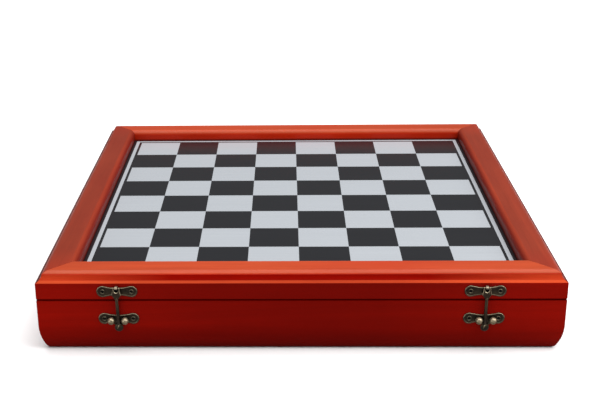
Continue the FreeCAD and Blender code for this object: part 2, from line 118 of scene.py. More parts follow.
def inset(ring, distance):
    """A closed ring of points moved inwards, square to its edge; the ring runs anticlockwise."""
    moved = []
    for before, here, after in zip(ring[-1:] + ring[:-1], ring, ring[1:] + ring[:1]):
        dx, dy = after[0] - before[0], after[1] - before[1]
        length = math.hypot(dx, dy)
        moved.append((here[0] - dy / length * distance, here[1] + dx / length * distance))
    return moved


def slab(half, soft):
    """Steps of a stack that make a flat slab with softened edges, half its thickness on each side."""
    return (soft, -half), (0.0, soft - half), (0.0, half - soft), (soft, half)


# ---- shells

ON_AXIS = 1e-6  # a smaller radius is a point on the axis of turning


class Shells:
    """Closed shells collected into one mesh. Points are given as (u, v, w) and placed by a function."""

    def __init__(self):
        self.points = []
        self.faces = []

    def add(self, points, faces, place=lambda p: p):
        start = len(self.points)
        self.points += [place(p) for p in points]
        self.faces += [tuple(start + i for i in face) for face in faces]
        return self

    def rings(self, rings, place=lambda p: p):
        """Rings of equal length joined in order, with a flat face on the first and the last."""
        size = len(rings[0])
        points = [p for ring in rings for p in ring]
        faces = [tuple(reversed(range(size))), tuple(range(len(points) - size, len(points)))]
        for k in range(len(rings) - 1):
            for i in range(size):
                j = (i + 1) % size
                faces.append((k * size + i, k * size + j, (k + 1) * size + j, (k + 1) * size + i))
        return self.add(points, faces, place)

    def stack(self, outline, steps, place):
        """Copies of an outline of (u, v), each moved in and raised by its own (inset, w)."""
        return self.rings([[(u, v, w) for u, v in inset(outline, step)] for step, w in steps], place)

    def turned(self, profile, place=lambda p: p, segments=40, wave=None):
        """A profile of (radius, height) turned about w.

        wave gives a point's extra height from its radius, height and angle.
        """
        points = []
        rows = []
        for r, z in profile:
            if r < ON_AXIS:
                rows.append([len(points)] * segments)
                points.append((0.0, 0.0, z))
            else:
                rows.append(list(range(len(points), len(points) + segments)))
                for i in range(segments):
                    angle = 360 * i / segments
                    lift = wave(r, z, angle) if wave else 0.0
                    points.append((*on_circle((0, 0), r, angle), z + lift))
        faces = []
        for low, high in zip(rows, rows[1:]):
            for i in range(segments):
                j = (i + 1) % segments
                corners = tuple(dict.fromkeys((low[i], low[j], high[j], high[i])))
                if len(corners) > 2:
                    faces.append(corners)
        for row, flip in ((rows[0], True), (rows[-1], False)):
            if len(set(row)) > 1:
                faces.append(tuple(reversed(row)) if flip else tuple(row))
        return self.add(points, faces, place)

    def ball(self, centre, radii, place=lambda p: p, segments=28):
        """A ball, stretched to its radii along u, v and w."""
        rows = segments // 2
        angles = [math.pi * k / rows for k in range(1, rows)]
        profile = [(0.0, -1.0), *[(math.sin(a), -math.cos(a)) for a in angles], (0.0, 1.0)]

        def stretched(p):
            return place(tuple(c + q * r for c, q, r in zip(centre, p, radii)))

        return self.turned(profile, stretched, segments)

    def rod(self, start, end, r_start, r_end):
        """A tapered round rod between two points, with softened ends."""
        a, b = Vector(start), Vector(end)
        axis = (b - a).normalized()
        side = axis.orthogonal().normalized()
        other = axis.cross(side)
        length = (b - a).length
        soft = 0.25 * min(r_start, r_end)
        profile = [(0, 0), (r_start - soft, 0), (r_start, soft),
                   (r_end, length - soft), (r_end - soft, length), (0, length)]
        return self.turned(profile, lambda p: tuple(a + p[0] * side + p[1] * other + p[2] * axis), 24)

    def piece(self, name, material):
        """The shells as a new object with smooth faces and one material."""
        mesh = bpy.data.meshes.new(name)
        mesh.from_pydata([Vector(p) * MM for p in self.points], [], self.faces)
        shape = bmesh.new()
        shape.from_mesh(mesh)
        bmesh.ops.recalc_face_normals(shape, faces=shape.faces)
        shape.to_mesh(mesh)
        shape.free()
        for polygon in mesh.polygons:
            polygon.use_smooth = True
        mesh.materials.append(material)
        piece = bpy.data.objects.new(name, mesh)
        bpy.context.scene.collection.objects.link(piece)
        return piece


def soften(piece, width_mm):
    """Round the piece's sharp edges."""
    bevel = piece.modifiers.new("soft_edges", "BEVEL")
    bevel.width = width_mm * MM
    bevel.segments = 3
    bevel.limit_method = "ANGLE"
    bevel.angle_limit = math.radians(28)
    bevel.harden_normals = True
    return piece


def crisp(piece, degrees):
    """Keep edges that turn by more than an angle sharp in the shading."""
    mesh = piece.data
    shape = bmesh.new()
    shape.from_mesh(mesh)
    limit = math.radians(degrees)
    for edge in shape.edges:
        edge.smooth = len(edge.link_faces) == 2 and edge.calc_face_angle(0.0) < limit
    shape.to_mesh(mesh)
    shape.free()
    return piece


def remesh(piece, voxel_mm):
    """Merge the piece's shells into one soft skin."""
    skin = piece.modifiers.new("skin", "REMESH")
    skin.mode = "VOXEL"
    skin.voxel_size = voxel_mm * MM
    skin.use_smooth_shade = True
    smooth = piece.modifiers.new("smooth", "SMOOTH")
    smooth.factor = 0.5
    smooth.iterations = 3
    return piece


def settle(piece, body, slot, *nodes):
    """Say which body a piece moves with and which CAD nodes it stands for, which are hidden.

    slot is not used.
    """
    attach(piece, body)
    if nodes:
        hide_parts(*nodes)
    return piece


# ---- materials

# Places of a colour mix's sockets, which share their names with its other kinds of mix
MIX_AMOUNT = 0
MIX_FIRST = 6
MIX_SECOND = 7
MIX_RESULT = 2


class Nodes:
    """Short calls for building one material's nodes."""

    def __init__(self, name):
        self.material = bpy.data.materials.new(name)
        self.material.use_nodes = True
        self.tree = self.material.node_tree
        self.shader = self.tree.nodes["Principled BSDF"]
        self.where = self.add("ShaderNodeTexCoord", {}).outputs["Object"]

    def put(self, socket, value):
        """Set an input to a value, or link it to another node's output."""
        if isinstance(value, bpy.types.NodeSocket):
            self.tree.links.new(value, socket)
        else:
            socket.default_value = value

    def add(self, kind, inputs, **settings):
        node = self.tree.nodes.new(kind)
        for key, value in settings.items():
            setattr(node, key, value)
        for key, value in inputs.items():
            self.put(node.inputs[key], value)
        return node

    def noise(self, scale, detail=4.0, roughness=0.55, distortion=0.0):
        """Noise of one scale per metre, or of one for each axis."""
        scales = scale if isinstance(scale, tuple) else (scale,) * 3
        mapping = self.add("ShaderNodeMapping", {"Vector": self.where, "Scale": scales})
        noise = self.add("ShaderNodeTexNoise", {
            "Vector": mapping.outputs["Vector"], "Scale": 1.0,
            "Detail": detail, "Roughness": roughness, "Distortion": distortion})
        return noise.outputs["Fac"]

    def ramp(self, source, *stops):
        """Colours at places along 0 to 1."""
        ramp = self.add("ShaderNodeValToRGB", {"Fac": source})
        elements = ramp.color_ramp.elements
        while len(elements) < len(stops):
            elements.new(0.5)
        for element, (place, colour) in zip(elements, stops):
            element.position = place
            element.color = (*colour, 1.0)
        return ramp.outputs["Color"]

    def grain(self, source, dark, light):
        """One colour turning into another over most of a noise's range."""
        return self.ramp(source, (0.30, dark), (0.70, light))

    def spread(self, source, low, high, from_low=0.3, from_high=0.7):
        """A value between from_low and from_high, spread over low to high and held there beyond."""
        node = self.add("ShaderNodeMapRange", {
            "Value": source, "From Min": from_low, "From Max": from_high, "To Min": low, "To Max": high})
        return node.outputs["Result"]

    def mix(self, amount, first, second):
        """Mix two colours by another node's output; either colour may be a colour or an output."""
        node = self.add("ShaderNodeMix", {}, data_type="RGBA")
        self.put(node.inputs[MIX_AMOUNT], amount)
        for value, place in ((first, MIX_FIRST), (second, MIX_SECOND)):
            self.put(node.inputs[place], (*value, 1.0) if isinstance(value, tuple) else value)
        return node.outputs[MIX_RESULT]

    def part(self, vector, axis):
        """One of a vector's three values."""
        return self.add("ShaderNodeSeparateXYZ", {"Vector": vector}).outputs[axis]

    def upward(self, low, high):
        """0 where a surface faces up by less than one share, 1 by more than another, as the piece lies."""
        geometry = self.add("ShaderNodeNewGeometry", {})
        turn = self.add("ShaderNodeVectorTransform", {"Vector": geometry.outputs["Normal"]},
                        vector_type="NORMAL", convert_from="WORLD", convert_to="OBJECT")
        return self.spread(self.part(turn.outputs["Vector"], 2), 0.0, 1.0, low, high)

    def height(self, low, high):
        """0 below one height in millimetres and 1 above another."""
        return self.spread(self.part(self.where, 2), 0.0, 1.0, low * MM, high * MM)

    def from_middle(self, axis, near, far):
        """0 nearer to the middle of the case along one axis than one distance, and 1 beyond another."""
        away = self.add("ShaderNodeMath", {0: self.part(self.where, axis)}, operation="ABSOLUTE")
        return self.spread(away.outputs[0], 0.0, 1.0, near * MM, far * MM)

    def bump(self, *layers):
        """Bump from (height source, depth in millimetres) layers, one on the other."""
        below = {}
        for source, depth in layers:
            inputs = {"Strength": 1.0, "Distance": depth * MM, "Height": source, **below}
            below = {"Normal": self.add("ShaderNodeBump", inputs).outputs["Normal"]}
        self.put(self.shader.inputs["Normal"], below["Normal"])

    def finish(self, colour, rough, **values):
        """Set colour and roughness, and constant values on sockets named with _ between their words."""
        self.put(self.shader.inputs["Base Color"], colour)
        self.put(self.shader.inputs["Roughness"], rough)
        for key, value in values.items():
            self.shader.inputs[key.replace("_", " ")].default_value = value
        return self.material


def along(axis, lengthways, across):
    """A noise's scales for grain that runs along one axis."""
    return tuple(lengthways if i == axis else across for i in range(3))


def shaded(colour, share):
    return tuple(c * share for c in colour)


STEEP_GRAIN = (0.82, 1.14)  # shares of the stain's colour in the dark and the light grain, on steep faces
LEVEL_GRAIN = (0.80, 1.13)  # and on level faces
PATCH_SHADE = 0.75  # share of the stain's colour in dark patches
HOLLOW_SHADE = 0.35  # and in painted shade, at its darkest
PORE_RED = (0.05, 0.002, 0.001)


def lacquer(name, axis, middle, ends, reach, slopes, shade, gloss):
    """Red-orange lacquer over wood whose grain runs along one axis, with light and shade painted into it.

    middle and ends are the colours on steep and on level faces, halfway along the grain and at its
    two ends; they differ by slope as painted light and shade. reach holds the distances from the middle
    between which one turns into the other. slopes are the upward shares between which steep turns into
    level. shade holds the heights between which painted shade fades out from its darkest.
    """
    nodes = Nodes(name)
    figure = nodes.noise(along(axis, 3.0, 75.0), 5.0, 0.62, 0.9)
    cloud = nodes.noise(along(axis, 9.0, 16.0), 3.0)
    pores = nodes.noise(along(axis, 60.0, 2200.0), 3.0)
    slope = nodes.upward(*slopes)

    def grained(colour, dark, light):
        return nodes.grain(figure, shaded(colour, dark), shaded(colour, light))

    # Grain and patches of stain, over colours that paint light and shade by slope
    def stained_and_lit(steep, level):
        wood = nodes.mix(slope, grained(steep, *STEEP_GRAIN), grained(level, *LEVEL_GRAIN))
        return nodes.mix(nodes.spread(cloud, 0.0, 0.42), wood, shaded(steep, PATCH_SHADE))

    wood = nodes.mix(nodes.from_middle(axis, *reach), stained_and_lit(*middle), stained_and_lit(*ends))
    pored = nodes.mix(nodes.spread(pores, 0.0, 0.12, 0.45, 0.75), wood, PORE_RED)
    # Painted shade, darkest at the foot of the walls round the board and low on the base's side
    colour = nodes.mix(nodes.height(*shade), shaded(middle[0], HOLLOW_SHADE), pored)
    nodes.bump((pores, 0.012), (figure, 0.05))
    return nodes.finish(colour, nodes.spread(cloud, 0.30, 0.38), Specular_IOR_Level=gloss)


def printed(name, low, high):
    """One colour of the printed board under a satin laminate, with a very faint brushed streak."""
    nodes = Nodes(name)
    streak = nodes.noise((9.0, 900.0, 1.0), 2.0)
    cloud = nodes.noise(10.0, 2.0)
    fine = nodes.noise(1500.0, 2.0)
    nodes.bump((fine, 0.004))
    colour = nodes.ramp(streak, (0.25, low), (0.75, high))
    return nodes.finish(colour, nodes.spread(cloud, 0.27, 0.29, 0.0, 1.0), Specular_IOR_Level=0.29)


def bronze(name, dark, light, up_highlight, rough):
    """Antique bronze: patina in patches, with a painted highlight where it faces up, as lit from above."""
    nodes = Nodes(name)
    patina = nodes.noise(260.0, 5.0, 0.6)
    grime = nodes.noise(900.0, 3.0)
    metal = nodes.grain(patina, dark, light)
    lit_from_above = nodes.mix(nodes.upward(0.0, 0.55), metal, up_highlight)
    colour = nodes.mix(nodes.spread(grime, 0.0, 0.35, 0.5, 0.8), lit_from_above, shaded(dark, 0.4))
    nodes.bump((grime, 0.03))
    return nodes.finish(colour, nodes.spread(patina, rough, rough + 0.14), Metallic=0.9)


def turned_wood(name, dark, light, pore):
    """Varnished wood of the chess pieces, whose grain runs along Y as they lie."""
    nodes = Nodes(name)
    rings = nodes.noise(along(1, 9.0, 130.0), 4.0, 0.5, 1.2)
    pores = nodes.noise(along(1, 90.0, 1900.0), 3.0)
    colour = nodes.mix(nodes.spread(pores, 0.0, 0.35, 0.5, 0.8), nodes.grain(rings, dark, light), pore)
    nodes.bump((pores, 0.012))
    return nodes.finish(colour, nodes.spread(rings, 0.24, 0.34), Coat_Weight=0.3, Coat_Roughness=0.1)


def nap(name, dark, light):
    """Short velvety pile."""
    nodes = Nodes(name)
    fibre = nodes.noise(2600.0, 3.0, 0.7)
    patch = nodes.noise(34.0, 4.0)
    colour = nodes.mix(nodes.spread(patch, 0.0, 0.30), nodes.grain(fibre, dark, light), light)
    nodes.bump((fibre, 0.12), (patch, 0.15))
    return nodes.finish(colour, nodes.spread(patch, 0.86, 0.98),
                        Sheen_Weight=0.5, Sheen_Roughness=0.45, Sheen_Tint=(0.45, 0.75, 0.55, 1.0))


def bare_board(name, dark, light):
    """Fibreboard or plywood, its grain along X."""
    nodes = Nodes(name)
    grain = nodes.noise((8.0, 160.0, 160.0), 5.0, 0.6, 0.6)
    fleck = nodes.noise((700.0, 1600.0, 1600.0), 3.0)
    colour = nodes.mix(nodes.spread(fleck, 0.0, 0.3, 0.5, 0.8), nodes.grain(grain, dark, light), dark)
    nodes.bump((fleck, 0.03))
    return nodes.finish(colour, nodes.spread(grain, 0.55, 0.7))


# The case's colours paint light and shade as well as its stain: each kind of face and slope is
# coloured lighter where light falls on it and darker where shade falls. A pair is for the front and
# back, whose grain runs on X, and for the left and right; the front's and back's lighter colours are
# painted sheen along their grain.
WALL_RED = [(0.52, 0.018, 0.0015), (0.188, 0.012, 0.0055)]  # upright faces round the board
TOP_RED = [(0.440, 0.060, 0.017), (0.238, 0.031, 0.012)]  # the frame's top
CORNER_RED = (0.315, 0.029, 0.0095)  # the left's and right's top at the mitres, lighter as painted reflection
CREST_HIGHLIGHT = [(0.47, 0.068, 0.020), (0.298, 0.038, 0.0155)]  # inward roll-over: painted highlight
COVE_RED = (0.225, 0.0025, 0.0005)  # the cove, halfway along, dark as painted shade
COVE_END_RED = [(0.42, 0.034, 0.010), (0.20, 0.006, 0.002)]  # and at the mitres, lighter as painted reflection
LEDGE_RED = [(0.50, 0.058, 0.017), (0.065, 0.006, 0.002)]  # ledge under the cove, painted light and shade
SIDE_RED = (0.145, 0.0019, 0.0004)  # the sides, halfway along, darker as painted shade
END_RED = (0.205, 0.0028, 0.0006)  # and at the corners
SEAM_SHADE = (0.10, 0.001, 0.0003)  # both rims beside the seam, painted shade of the gap
END_SHADE = 0.9  # share of the colour of walls, top and crest that is left at their ends, as painted shade
# Heights between which painted shade fades out from its darkest
RECESS = (53.6, 54.9)  # in the corner round the board
TUCK = (-12.0, 22.0)  # up the base's side
# Upward shares between which steep turns into level
TOP_SLOPES = (0.22, 0.58)
LEDGE_SLOPES = (0.72, 0.82)
CREST_SLOPES = [(0.18, 0.58), (0.65, 0.98)]
# Distances from the middle between which the middle's colours turn into those of the ends
SIDE_REACH = (60.0, 190.0)
TOP_REACH = [(60.0, 190.0), (145.0, 194.0)]
COVE_REACH = (95.0, 185.0)
# Specular levels
SIDE_GLOSS = 0.012
TOP_GLOSS = 0.18
CREST_GLOSS = [0.18, 0.08]
SEAM_GLOSS = 0.0

# Places of one side's finishes in its list
SIDE, TOP, COVE, SEAM, CREST = range(5)


def case_lacquers(axis):
    """The finishes of one side of the case: its side, top, cove and ledge, seam in painted shade, and
    inward roll-over with a painted highlight.
    """
    wall = WALL_RED[axis]
    wall_end = shaded(wall, END_SHADE)
    top_end = (shaded(TOP_RED[0], END_SHADE), CORNER_RED)[axis]
    crest = CREST_HIGHLIGHT[axis]
    crest_highlight_end = shaded(crest, END_SHADE)
    ledge = LEDGE_RED[axis]
    cove_end = COVE_END_RED[axis]
    finishes = (
        ("side", (SIDE_RED, SIDE_RED), (END_RED, END_RED), SIDE_REACH, LEDGE_SLOPES, TUCK, SIDE_GLOSS),
        ("top", (wall, TOP_RED[axis]), (wall_end, top_end), TOP_REACH[axis], TOP_SLOPES, RECESS, TOP_GLOSS),
        ("cove", (COVE_RED, ledge), (cove_end, ledge), COVE_REACH, LEDGE_SLOPES, TUCK, SIDE_GLOSS),
        ("seam", (SEAM_SHADE, SEAM_SHADE), (SEAM_SHADE, SEAM_SHADE), SIDE_REACH, LEDGE_SLOPES, TUCK, SEAM_GLOSS),
        ("crest", (wall, crest), (wall_end, crest_highlight_end), SIDE_REACH, CREST_SLOPES[axis], RECESS,
         CREST_GLOSS[axis]),
    )
    return [lacquer(f"lacquer_{name}_{axis}", axis, *finish) for name, *finish in finishes]


LACQUERS = [case_lacquers(axis) for axis in (0, 1)]
PRINT_LIGHT = printed("print_light", (0.340, 0.360, 0.385), (0.372, 0.394, 0.420))
PRINT_DARK = printed("print_dark", (0.0095, 0.0101, 0.0121), (0.0136, 0.0144, 0.0170))
# Dark and light patina, the painted highlight on faces that face up, and roughness
BRONZES = {
    "floor": ((0.005, 0.0035, 0.002), (0.020, 0.014, 0.008), (0.065, 0.048, 0.028), 0.42),
    "rim": ((0.009, 0.0065, 0.004), (0.034, 0.026, 0.015), (0.42, 0.345, 0.23), 0.32),
    "leaf": ((0.016, 0.012, 0.008), (0.070, 0.055, 0.036), (0.30, 0.25, 0.175), 0.26),
    "ball": ((0.060, 0.045, 0.025), (0.145, 0.113, 0.068), (0.41, 0.335, 0.225), 0.34),
    "stem": ((0.008, 0.005, 0.003), (0.028, 0.018, 0.010), (0.07, 0.05, 0.03), 0.38),
    "ring": ((0.009, 0.006, 0.004), (0.032, 0.024, 0.014), (0.14, 0.115, 0.075), 0.38),
}
BRONZE = {part: bronze(f"bronze_{part}", *finish) for part, finish in BRONZES.items()}
# Dark iron of the nails, also put on the curls' lower halves as painted shade
IRON_AND_SHADE = bronze("nail_iron_and_shade", (0.001, 0.001, 0.001), (0.003, 0.0025, 0.002), (0.005, 0.004, 0.003), 0.6)
LIGHT_WOOD = turned_wood("light_wood", (0.56, 0.36, 0.17), (0.74, 0.53, 0.29), (0.30, 0.16, 0.06))
DARK_WOOD = turned_wood("dark_wood", (0.020, 0.010, 0.007), (0.050, 0.024, 0.014), (0.006, 0.004, 0.003))
GREEN_NAP = nap("green_nap", (0.006, 0.040, 0.022), (0.016, 0.085, 0.047))
CORE_BOARD = bare_board("core_board", (0.34, 0.22, 0.12), (0.44, 0.30, 0.17))
PANEL_BOARD = bare_board("panel_board", (0.40, 0.26, 0.13), (0.52, 0.36, 0.19))


# ---- the case

# The sections' outlines are points of (distance from the case's middle, height)
LID_ROUND = 0.9  # rounding of the lid's rim beside the seam
RIM_ROUND = 0.5  # rounding of the base's rim beside the seam
LEDGE_Z = 55.8  # foot of the sloping ledge
COVE_FOOT = (194.3, 57.0)  # where the ledge turns into the cove
COVE_MIDDLE = (192.6, 59.2)
RIDGE_LOW = (191.95, 61.0)  # the ridge above the cove, rounded over these three points
RIDGE = (191.78, 61.75)
RIDGE_HIGH = (191.25, 62.18)
FLAT_END = 187.3  # where the flat top starts to roll over outwards
INNER_ROUND = 5.0  # rounding of the frame's inner edge
CASE_SOFT = 0.3  # softening of the edges that are left
NEAR = 0.05  # a face this close beyond a line still counts as inside it
LINE_GAP = 2.4  # from the squares to the light border line
LINE_WIDTH = 3.3


def roll(flat_end, edge):
    """The middle of an arc that leaves a level line at flat_end and ends at edge."""
    run = edge[0] - flat_end[0]
    drop = edge[1] - flat_end[1]
    radius = (run ** 2 + drop ** 2) / (2 * drop)
    half_turn = math.degrees(math.asin(run / abs(radius))) / 2
    level = -90 + half_turn if drop > 0 else 90 - half_turn
    return on_circle((flat_end[0], flat_end[1] + radius), abs(radius), level)


def rail_section():
    """The lid's frame, with its rim, side, ledge, cove, roll-over, flat top and rounded inner edge."""
    top = RAIL_HIGH.z
    seam = (OUTER - LID_ROUND, RAIL_LOW.z + LID_ROUND)
    edge = (OPENING + INNER_ROUND, top - INNER_ROUND)
    return outline(
        (INNER, RAIL_LOW.z),
        (seam[0], RAIL_LOW.z),
        (on_circle(seam, LID_ROUND, -45), (OUTER, seam[1])),
        (OUTER, LEDGE_Z),
        COVE_FOOT,
        (COVE_MIDDLE, RIDGE_LOW),
        (RIDGE, RIDGE_HIGH),
        (roll((FLAT_END, top), RIDGE_HIGH), (FLAT_END, top)),
        (edge[0], top),
        (on_circle(edge, INNER_ROUND, 135), (OPENING, edge[1])),
        (OPENING, CORE_HIGH.z),
        (INNER, CORE_HIGH.z),
    )


def wall_section():
    """The base's wall: rim, upright side, tucked-in lower side, standing rim and the panel's groove."""
    cheek_r = 44.0
    cheek_top = 21.5
    cheek_low = 2.0
    foot_edge = 188.5
    groove = 186.5
    top = WALL_HIGH.z
    cheek = (OUTER - cheek_r, cheek_top)
    end_angle = math.degrees(math.asin((cheek_low - cheek_top) / cheek_r))
    cheek_end = on_circle(cheek, cheek_r, end_angle)
    seam = (OUTER - RIM_ROUND, top - RIM_ROUND)
    return outline(
        (INNER, 0.0),
        (foot_edge, 0.0),
        (roll((foot_edge, 0.0), cheek_end), cheek_end),
        (on_circle(cheek, cheek_r, end_angle / 2), (OUTER, cheek_top)),
        (OUTER, seam[1]),
        (on_circle(seam, RIM_ROUND, 45), (seam[0], top)),
        (INNER, top),
        (INNER, PANEL_HIGH.z),
        (groove, PANEL_HIGH.z),
        (groove, PANEL_LOW.z),
        (INNER, PANEL_LOW.z),
    )


def choose(piece, materials, pick):
    """Give each face one of the materials: pick names it from the face's corners, in millimetres."""
    mesh = piece.data
    mesh.materials.clear()
    for material in materials:
        mesh.materials.append(material)
    for polygon in mesh.polygons:
        polygon.material_index = pick([mesh.vertices[i].co / MM for i in polygon.vertices])
    return piece


def case_finish(corners):
    """The finish of one face of the case, from where it lies."""
    lowest = min(p.z for p in corners)
    highest = max(p.z for p in corners)
    out = max(max(abs(p.x), abs(p.y)) for p in corners)
    if lowest > WALL_HIGH.z - RIM_ROUND - NEAR and highest < RAIL_LOW.z + LID_ROUND + NEAR:
        return SEAM
    if out < RIDGE_LOW[0] + NEAR and lowest > CORE_HIGH.z - NEAR:
        return CREST if out < OPENING + INNER_ROUND + NEAR else TOP
    return COVE if lowest > LEDGE_Z - NEAR else SIDE


def mitred_side(name, section, quarter):
    """One side of the case, cut off at 45 degrees at both ends, turned by quarter turns from the front."""
    axis = quarter % 2
    turn = Matrix.Rotation(math.radians(90 * quarter), 3, "Z")
    ends = [[(sign * out, -out, z) for out, z in section] for sign in (-1, 1)]
    side = Shells().rings(ends, lambda p: tuple(turn @ Vector(p))).piece(name, LACQUERS[axis][SIDE])
    choose(side, LACQUERS[axis], case_finish)
    return soften(side, CASE_SOFT)


def case_sides():
    """The lid's four rails and the base's four walls."""
    for quarter, side in enumerate(("front", "right", "back", "left")):
        rail = mitred_side(f"frame_{side}", rail_section(), quarter)
        settle(rail, "lid", "lacquered_wood", f"lid_{side}_rail")
        wall = mitred_side(f"wall_{side}", wall_section(), quarter)
        settle(wall, "base", "lacquered_wood", f"base_{side}_wall")


def playing_board():
    """The printed sheet, with one face for each square and for each stretch of the border."""
    line_in = 4 * SQUARE + LINE_GAP
    line_out = line_in + LINE_WIDTH
    half = [i * SQUARE for i in range(5)] + [line_in, line_out, SHEET_HIGH.x]
    lines = sorted({*half, *[-x for x in half]})
    count = len(lines)
    top = [(x, y, SHEET_HIGH.z) for y in lines for x in lines]
    faces = []
    light = []
    for row, (y0, y1) in enumerate(zip(lines, lines[1:])):
        for column, (x0, x1) in enumerate(zip(lines, lines[1:])):
            corner = row * count + column
            faces.append((corner, corner + 1, corner + count + 1, corner + count))
            x, y = (x0 + x1) / 2, (y0 + y1) / 2
            reach = max(abs(x), abs(y))
            if reach < 4 * SQUARE:
                light.append((math.floor(x / SQUARE) + math.floor(y / SQUARE)) % 2 == 1)
            else:
                light.append(line_in < reach < line_out)
    # The corners along the sheet's edge, anticlockwise
    rim = list(range(count))
    rim += [(i + 1) * count - 1 for i in range(1, count)]
    rim += [count * count - 1 - i for i in range(1, count)]
    rim += [i * count for i in range(count - 2, 0, -1)]
    size = len(rim)
    below = [(*top[i][:2], SHEET_LOW.z) for i in rim]
    under = [len(top) + i for i in range(size)]
    faces += [(rim[i], under[i], under[(i + 1) % size], rim[(i + 1) % size]) for i in range(size)]
    faces.append(tuple(reversed(under)))
    sheet = Shells().add(top + below, faces).piece("playing_sheet", PRINT_DARK)
    sheet.data.materials.append(PRINT_LIGHT)
    for polygon in sheet.data.polygons:
        polygon.use_smooth = False
        polygon.material_index = int(polygon.index < len(light) and light[polygon.index])
    settle(sheet, "lid", "board_print", "board_sheet")


def on_front(x, z):
    """Places points on the case's front, with u to the right, v up and w outwards from a point."""
    return lambda p: (x + p[0], -OUTER - p[2], z + p[1])


def on_back(x, z, up=1):
    """Places points on the case's back, with v down where up is -1."""
    return lambda p: (x + p[0], OUTER + p[2], z + up * p[1])


# ---- hook latches

LOBE_R = 4.5  # round ends of a latch plate
LOBE_TURN = 105  # where the waist leaves a round end, in degrees from the plate's long axis
WAIST = 3.0  # half the height of the plate at its middle
# The plate's rolled rim as (distance in from the outline, height over the wall)
RIM_STEPS = ((0.0, 0.0), (0.0, 0.40), (0.12, 0.62), (0.35, 0.77),
             (0.62, 0.78), (0.85, 0.66), (1.05, 0.46), (1.25, 0.40))
FLOOR = RIM_STEPS[-1][1]
BEDDED = 0.2  # how far rings and studs reach into the plate's floor
LOWER_RIM = 1.0  # below this distance under the plate's middle, the rim is darker as painted shade
STUD_X = 5.15  # half the distance between a catch's two ball studs
STUDS_X = {"left": -135.7, "right": 137.5}  # middle of each pair of ball studs
TIP_X = {"left": -135.2, "right": 136.7}  # middle of each hook's leaf-shaped tip
TIP_R = 3.2


def plate_middle(node):
    low, high = box_mm(node)
    return (low.x + high.x) / 2


def lobe_reach(node):
    """From a plate's middle to the middle of each of its round ends."""
    low, high = box_mm(node)
    return (high.x - low.x) / 2 - LOBE_R


def waist_end(lobe_x):
    """Where the upper edge of a plate's waist meets the right round end."""
    return on_circle((lobe_x, 0), LOBE_R, LOBE_TURN)


def waisted(lobe_x, bottom):
    """A plate's outline: round ends with a waist between them. bottom holds the steps of the lower edge."""
    start = waist_end(lobe_x)
    left_low = (-start[0], -start[1])
    ring = outline(start, ((0, WAIST), (-start[0], start[1])), ((-lobe_x - LOBE_R, 0), left_low), *bottom,
                   ((lobe_x + LOBE_R, 0), start), count=22)
    return ring[:-1]


def rimmed(piece, middle_z):
    """Patina on a plate's floor, a painted highlight on its upper rim, and darker metal on nail rings
    and, as painted shade, on the rim below the middle.
    """
    floor, rim, ring = range(3)

    def finish(corners):
        reach = [-p.y - OUTER for p in corners]
        if max(reach) > PLATE:
            return ring
        if min(reach) < FLOOR + 0.03:
            return floor
        return ring if min(p.z for p in corners) < middle_z - LOWER_RIM else rim

    return choose(piece, (BRONZE["floor"], BRONZE["rim"], BRONZE["ring"]), finish)


def latch_plate(name, node, middle_z, bottom):
    """A stamped plate with a rolled rim, and a dimpled ring round each nail."""
    middle = plate_middle(node)
    lobe_x = lobe_reach(node)
    shells = Shells().stack(waisted(lobe_x, bottom), RIM_STEPS, on_front(middle, middle_z))
    dimple = [(0.0, FLOOR - BEDDED), (1.95, FLOOR - BEDDED), (1.9, FLOOR), (1.80, 0.82), (1.6, 1.02),
              (1.38, 0.98), (1.16, 0.82), (1.0, 0.40), (0.0, 0.38)]
    for x in (middle - lobe_x, middle + lobe_x):
        shells.turned(dimple, on_front(x, middle_z), 32)
    return rimmed(crisp(shells.piece(name, BRONZE["rim"]), 50), middle_z)


def hook_plate(side):
    """The plate on the lid, and the curled strap that holds the hook's bar."""
    node = f"{side}_hook_plate"
    start = waist_end(lobe_reach(node))
    bottom = [((0, -WAIST), (start[0], -start[1]))]
    plate = latch_plate(f"latch_plate_{side}", node, box_mm(node)[0].z + LOBE_R, bottom)
    settle(plate, "lid", "antique_bronze", node)

    pivot = joint_mm(f"{side}_hook_swing")
    root = -OUTER - FLOOR + 0.1
    half = 1.15
    strap = outline(
        (root, pivot.z - 1.5), (root - 0.55, pivot.z - 1.3),
        ((pivot.y, pivot.z - 1.40), (pivot.y - 1.42, pivot.z)),
        ((pivot.y - 0.9, pivot.z + 1.1), (pivot.y + 0.2, pivot.z + 1.42)),
        (root - 0.5, pivot.z + 1.2), (root, pivot.z + 1.4),
    )
    curl = Shells().rings([[(x, y, z) for y, z in strap] for x in (pivot.x - half, pivot.x + half)])
    curl = curl.piece(f"latch_curl_{side}", BRONZE["leaf"])
    # The curl's lower half takes dark iron, as painted shade under the curl
    choose(curl, (BRONZE["leaf"], IRON_AND_SHADE), lambda corners: int(min(p.z for p in corners) < pivot.z - 0.1))
    soften(curl, 0.28)
    settle(curl, "lid", "antique_bronze")


